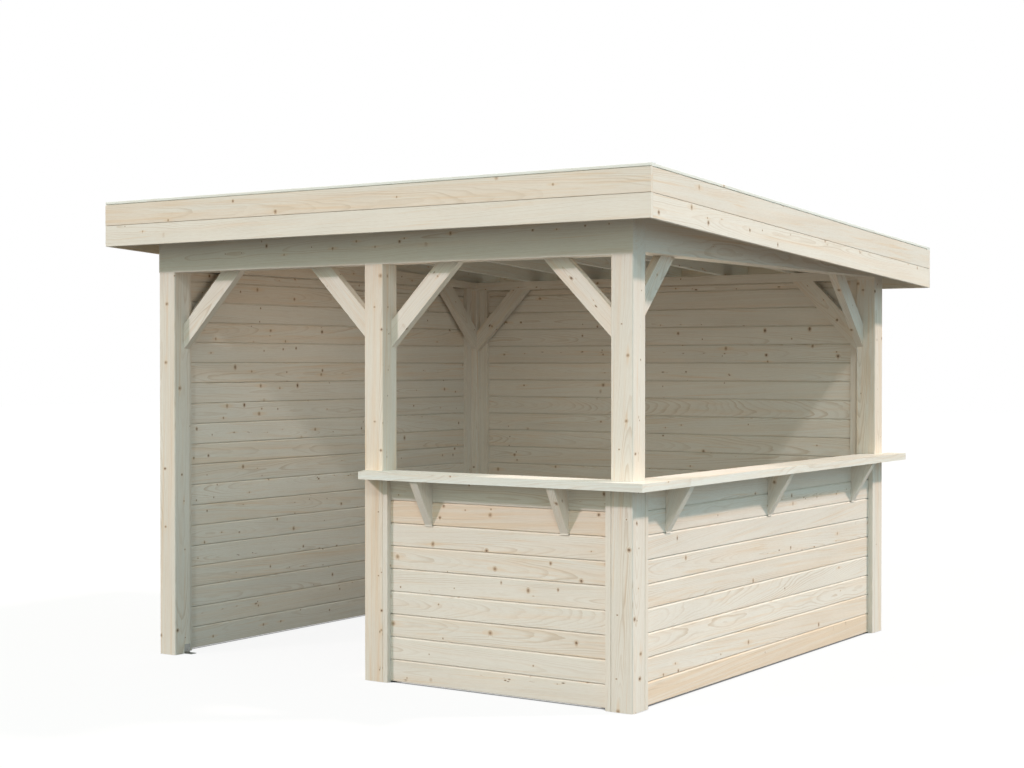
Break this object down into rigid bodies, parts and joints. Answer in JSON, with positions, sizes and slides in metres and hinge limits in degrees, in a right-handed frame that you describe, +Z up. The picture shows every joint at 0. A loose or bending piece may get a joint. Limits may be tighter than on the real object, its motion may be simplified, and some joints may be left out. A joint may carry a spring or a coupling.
{
  "type": "timber garden gazebo with bar counter",
  "caption": "Open timber garden gazebo with a flat sloping roof, two boarded walls, corner braces and an L-shaped bar counter over half-height board walls.",
  "frame": {"origin": "on the ground, under the centre of the roof's rectangular outline", "axes": "+X to the right along the entrance front, +Y from the entrance front to the back wall, +Z up"},
  "size_m": [3.388, 3.425, 2.4676],
  "materials": {
    "post_timber": "planed untreated spruce",
    "frame_timber": "planed untreated spruce",
    "wall_boards": "planed tongue and groove boards",
    "lath_timber": "planed untreated spruce",
    "counter_timber": "planed and eased spruce",
    "roof_timber": "planed untreated spruce",
    "fascia_boards": "planed tongue and groove boards",
    "zinc_steel": "galvanised"
  },
  "bodies": {
    "root": {"front_left_post": "post_timber", "front_middle_post": "post_timber", "front_right_post": "post_timber", "back_left_post": "post_timber", "back_right_post": "post_timber", "front_beam": "frame_timber", "back_beam": "frame_timber", "left_beam": "frame_timber", "right_beam": "frame_timber", "brace_front_left": "frame_timber", "brace_front_middle_left": "frame_timber", "brace_front_middle_right": "frame_timber", "brace_front_right": "frame_timber", "brace_right_front": "frame_timber", "brace_right_back": "frame_timber", "brace_left_front": "frame_timber", "brace_left_back": "frame_timber", "brace_back_left": "frame_timber", "brace_back_right": "frame_timber", "left_wall": "wall_boards", "back_wall": "wall_boards", "front_half_wall": "wall_boards", "right_half_wall": "wall_boards", "left_wall_battens": "lath_timber", "back_wall_battens": "lath_timber", "front_half_wall_battens": "lath_timber", "right_half_wall_battens": "lath_timber", "front_counter": "counter_timber", "right_counter": "counter_timber", "front_counter_brackets": "lath_timber", "right_counter_brackets": "lath_timber", "rafters": "roof_timber", "roof_deck": "roof_timber", "front_fascia": "fascia_boards", "back_fascia": "fascia_boards", "left_fascia": "fascia_boards", "right_fascia": "fascia_boards", "front_cap": "fascia_boards", "back_cap": "fascia_boards", "left_cap": "fascia_boards", "right_cap": "fascia_boards", "post_anchors": "zinc_steel"}
  },
  "joints": []
}
